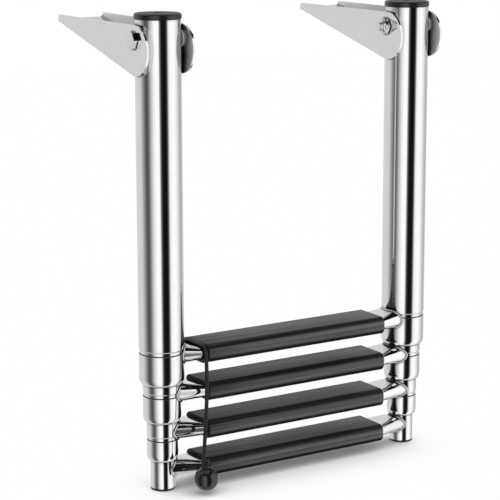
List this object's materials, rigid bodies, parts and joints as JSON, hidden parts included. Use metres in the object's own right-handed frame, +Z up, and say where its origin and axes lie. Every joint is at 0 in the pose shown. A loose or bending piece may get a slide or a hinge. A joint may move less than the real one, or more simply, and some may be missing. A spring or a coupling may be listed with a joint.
{
  "type": "telescopic boat ladder",
  "caption": "Telescopic boat ladder, folded up: nested polished steel tubes, flat steps in black sleeves, hinged deck brackets and a retaining strap with a ball.",
  "frame": {"origin": "middle of the left bracket's base, on the face that lies on the deck", "axes": "+X along the steps from the left post to the right one, -Y outboard, +Z up along the posts"},
  "size_m": [0.3018, 0.1789, 0.4005],
  "materials": {
    "polished_tube": "mirror-polished stainless steel",
    "polished_step": "mirror-polished stainless steel",
    "bracket_sheet": "satin stainless sheet",
    "fastener": "polished stainless fasteners",
    "nylon": "natural nylon",
    "tread_plastic": "moulded black plastic, lightly ribbed",
    "cap_plastic": "moulded black plastic",
    "ball_plastic": "glossy black ball",
    "strap_rubber": "black rubber cord"
  },
  "bodies": {
    "brackets": {"bracket_left": "bracket_sheet", "bracket_right": "bracket_sheet", "pivot_bolt_left": "fastener", "pivot_bolt_right": "fastener", "pivot_nut_left": "fastener", "pivot_nut_right": "fastener", "pivot_washer_inner_left": "nylon", "pivot_washer_inner_right": "nylon", "pivot_washer_outer_left": "nylon", "pivot_washer_outer_right": "nylon"},
    "upper_section": {"collar_1_left": "polished_tube", "collar_1_right": "polished_tube", "step_1": "polished_step", "tread_1": "tread_plastic", "tube_1_left": "polished_tube", "tube_1_right": "polished_tube", "post_cap_left": "cap_plastic", "post_cap_right": "cap_plastic", "strap_ball": "ball_plastic", "strap_cord": "strap_rubber", "strap_ring": "strap_rubber"},
    "second_section": {"collar_2_left": "polished_tube", "collar_2_right": "polished_tube", "guide_2_left": "nylon", "guide_2_right": "nylon", "step_2": "polished_step", "tread_2": "tread_plastic", "tube_2_left": "polished_tube", "tube_2_right": "polished_tube"},
    "third_section": {"collar_3_left": "polished_tube", "collar_3_right": "polished_tube", "guide_3_left": "nylon", "guide_3_right": "nylon", "step_3": "polished_step", "tread_3": "tread_plastic", "tube_3_left": "polished_tube", "tube_3_right": "polished_tube"},
    "bottom_section": {"guide_4_left": "nylon", "guide_4_right": "nylon", "step_4": "polished_step", "tread_4": "tread_plastic", "tube_4_left": "polished_tube", "tube_4_right": "polished_tube", "foot_plug_left": "cap_plastic", "foot_plug_right": "cap_plastic"}
  },
  "joints": [
    {"name": "ladder_swing", "type": "hinge", "parent": "brackets", "child": "upper_section", "pos_m": [0, -0.08255, 0.00729], "axis": [-1, 0, 0], "range_deg": [0, 255]},
    {"name": "second_slide", "type": "slide", "parent": "upper_section", "child": "second_section", "axis": [0, 0, -1], "range_m": [0, 0.222]},
    {"name": "third_slide", "type": "slide", "parent": "second_section", "child": "third_section", "axis": [0, 0, -1], "range_m": [0, 0.222]},
    {"name": "bottom_slide", "type": "slide", "parent": "third_section", "child": "bottom_section", "axis": [0, 0, -1], "range_m": [0, 0.222]}
  ]
}
